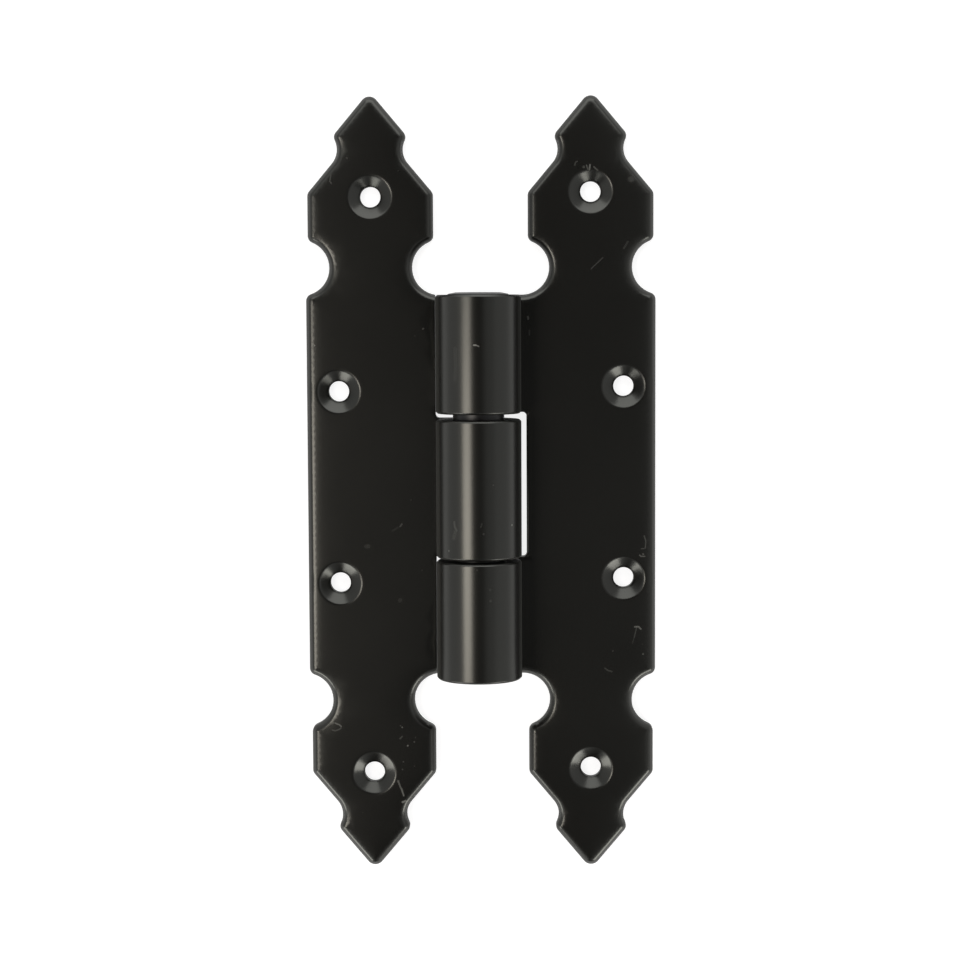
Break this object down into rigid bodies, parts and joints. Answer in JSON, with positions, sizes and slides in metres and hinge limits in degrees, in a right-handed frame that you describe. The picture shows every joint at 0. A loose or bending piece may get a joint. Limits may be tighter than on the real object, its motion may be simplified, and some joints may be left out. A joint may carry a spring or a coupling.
{
  "type": "decorative butt hinge",
  "caption": "Black decorative butt hinge with spear finials and countersunk screw holes. Its leaves swing on a rolled barrel and pin.",
  "frame": {"origin": "on the mounting plane of the backs, under the middle of the pin", "axes": "+Z out of the hinge's face, +Y along the pin, +X from the pin to the right leaf, whose end knuckles hold the pin"},
  "size_m": [0.0632, 0.14, 0.0153],
  "materials": {
    "black_coat": "smooth satin black coating with small handling marks",
    "pin_black": "glossy black"
  },
  "bodies": {
    "right_side": {"right_leaf": "black_coat", "hinge_pin": "pin_black"},
    "left_side": {"left_leaf": "black_coat"}
  },
  "joints": [
    {"name": "leaf_swing", "type": "hinge", "parent": "right_side", "child": "left_side", "pos_m": [0, 0, 0.00765], "axis": [0, 1, 0], "range_deg": [-90, 196]}
  ]
}
